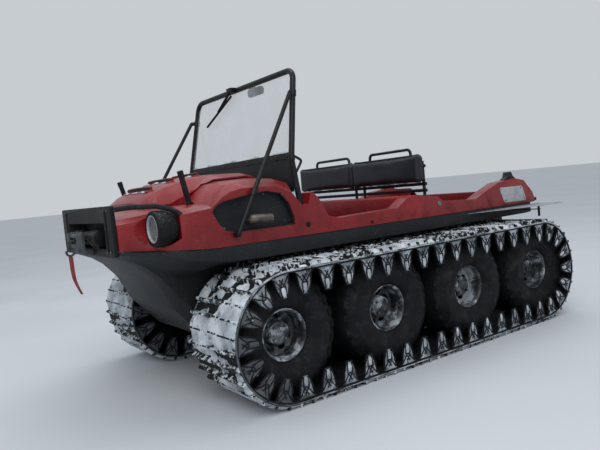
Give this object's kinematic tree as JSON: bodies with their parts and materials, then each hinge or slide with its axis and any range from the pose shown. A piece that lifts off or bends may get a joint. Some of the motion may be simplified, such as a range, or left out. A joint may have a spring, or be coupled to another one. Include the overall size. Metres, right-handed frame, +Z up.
{
  "type": "tracked all-terrain vehicle",
  "caption": "Open amphibious all-terrain vehicle with a red upper body on a black hull, wheels inside full-length rubber tracks, a folding-style screen, bench seat and winch.",
  "frame": {"origin": "on the ground, centred below the vehicle's overall box", "axes": "+X points forward, +Y to the vehicle's left, +Z up"},
  "size_m": [3.1188, 1.756, 1.6729],
  "materials": {
    "grey_steel": "dull zinc grey steel",
    "seat_vinyl": "dark navy seat vinyl",
    "black_plastic": "textured black plastic",
    "engine_grey": "engine mass",
    "exhaust_steel": "heat stained pipe",
    "aluminium_sheet": "thin bare sheet",
    "black_metal": "black painted steel",
    "post_rubber": "black rubber",
    "red_plastic": "moulded red plastic, worn and damp",
    "lamp_glass": "clear lamp lens",
    "strap_red": "red webbing",
    "clear_screen": "clear screen",
    "track_rubber": "dark track rubber packed with snow",
    "tyre_black": "worn tyre rubber with snow"
  },
  "bodies": {
    "chassis": {"axle_stubs": "grey_steel", "bench_cushion": "seat_vinyl", "dash_panel": "black_plastic", "engine_block": "engine_grey", "exhaust_outlet": "exhaust_steel", "fairlead": "grey_steel", "fender_plate_left": "aluminium_sheet", "fender_plate_right": "aluminium_sheet", "floor_pan": "black_plastic", "front_guard": "black_metal", "front_posts": "post_rubber", "grab_loops": "black_metal", "head_lamps": "black_plastic", "hitch": "black_metal", "hull_tub": "black_plastic", "lamp_brows": "post_rubber", "lamp_lenses": "lamp_glass", "lid_hinges": "black_metal", "mirror_shell": "black_plastic", "plate_stays": "black_metal", "pull_strap": "strap_red", "rear_cleats": "black_plastic", "rear_lip": "black_plastic", "rims_left": "grey_steel", "rims_right": "grey_steel", "screen_braces": "black_metal", "screen_frame": "black_metal", "screen_glass": "clear_screen", "screen_panel": "black_plastic", "seat_backs": "seat_vinyl", "seat_frame": "black_metal", "side_caps": "black_plastic", "side_cover_left": "black_plastic", "side_cover_right": "black_plastic", "steering_socket": "black_plastic", "track_left": "track_rubber", "track_right": "track_rubber", "tyres_left": "tyre_black", "tyres_right": "tyre_black", "upper_body": "red_plastic", "winch": "black_metal", "winch_hook": "grey_steel", "wiper": "black_metal"},
    "hood": {"hood_lid": "red_plastic"},
    "steering": {"handlebar": "black_metal"}
  },
  "joints": [
    {"name": "hood_hinge", "type": "hinge", "parent": "chassis", "child": "hood", "pos_m": [0.592, 0, 1.10918], "axis": [0, -1, 0], "range_deg": [0, 60]},
    {"name": "handlebar_turn", "type": "hinge", "parent": "chassis", "child": "steering", "pos_m": [0.525, -0.3, 0.89], "axis": [-0.8192, 0, 0.5736], "range_deg": [-35, 35]}
  ]
}
